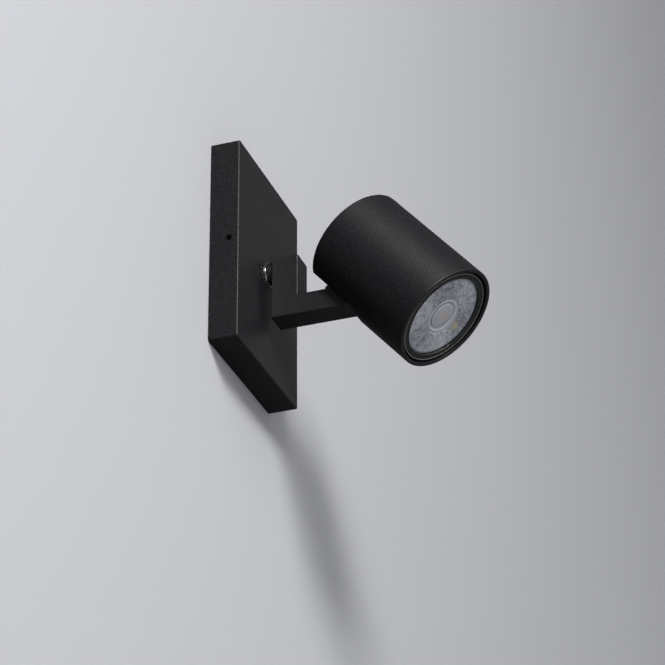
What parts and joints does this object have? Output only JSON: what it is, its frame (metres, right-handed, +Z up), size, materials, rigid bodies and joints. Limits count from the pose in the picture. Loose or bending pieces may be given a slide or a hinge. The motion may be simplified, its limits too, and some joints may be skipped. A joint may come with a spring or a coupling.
{
  "type": "pivoting spotlight wall light",
  "caption": "Wall spotlight with an upright box-shaped cover, a chrome swivel collar, an L-shaped arm and a round head that tilts on a hinge and holds a reflector lamp with a clear lens.",
  "frame": {"origin": "centre of the base's back, in the plane of the wall", "axes": "+Z up the wall, +Y into the wall, so the light stands out along -Y, and +X to the right of someone who faces it"},
  "size_m": [0.082, 0.1263, 0.1148],
  "materials": {
    "black_powder_coat": "matte black powder coat with a fine texture",
    "blackened_steel": "black oxide, slightly oily",
    "zinc_plated_steel": "bright zinc plate, satin",
    "chrome_plate": "polished chrome plate",
    "plain_brass": "plain drawn brass",
    "tinned_metal": "tin or nickel plate",
    "white_nylon": "natural white nylon",
    "red_fibre": "vulcanised fibre",
    "grey_nylon": "hard nylon",
    "glazed_white_ceramic": "fired white ceramic",
    "brown_insulation": "heat-resistant lead sleeve",
    "blue_insulation": "heat-resistant lead sleeve",
    "green_yellow_insulation": "striped lead sleeve",
    "lamp_housing_plastic": "white moulded plastic",
    "dark_gloss_plastic": "glossy dark grey moulding",
    "clear_optic": "clear moulded optic with a fine face texture",
    "board_aluminium": "white solder mask on aluminium",
    "led_phosphor": "yellow-orange phosphor"
  },
  "bodies": {
    "wall_base": {"wall_cover": "black_powder_coat", "mounting_bracket": "zinc_plated_steel", "cover_grub_screws": "blackened_steel", "terminal_block": "white_nylon", "terminal_sleeves": "plain_brass", "terminal_screws": "zinc_plated_steel", "terminal_fixing_screw": "zinc_plated_steel", "earth_screw": "zinc_plated_steel", "earth_tag": "tinned_metal", "earth_lead": "green_yellow_insulation", "base_lead_live": "brown_insulation", "base_lead_neutral": "blue_insulation", "swivel_collar": "chrome_plate", "fibre_washer": "red_fibre", "stop_pin": "zinc_plated_steel"},
    "arm": {"arm_bar": "black_powder_coat", "channel_plug": "black_powder_coat", "swivel_stem": "zinc_plated_steel", "leg_spacer": "black_powder_coat", "stop_washer": "zinc_plated_steel", "spring_washer": "zinc_plated_steel", "stem_nut": "zinc_plated_steel", "arm_lead_live": "brown_insulation", "arm_lead_neutral": "blue_insulation", "pivot_screws": "zinc_plated_steel", "friction_washers": "grey_nylon"},
    "head": {"head_shell": "black_powder_coat", "hinge_bracket": "zinc_plated_steel", "rear_screws": "blackened_steel", "lampholder": "glazed_white_ceramic", "holder_screws": "zinc_plated_steel", "holder_contacts": "plain_brass", "head_lead_live": "brown_insulation", "head_lead_neutral": "blue_insulation", "lamp_pins": "tinned_metal", "lamp_body": "lamp_housing_plastic", "lamp_bezel": "dark_gloss_plastic", "lamp_lens": "clear_optic", "led_board": "board_aluminium", "led_chip": "led_phosphor"}
  },
  "joints": [
    {"name": "arm_swivel", "type": "hinge", "parent": "wall_base", "child": "arm", "pos_m": [0, -0.0189, 0], "axis": [0, -1, 0], "range_deg": [-160, 160]},
    {"name": "head_tilt", "type": "hinge", "parent": "arm", "child": "head", "pos_m": [0, -0.0633, -0.0229], "axis": [1, 0, 0], "range_deg": [-49, 41]}
  ]
}
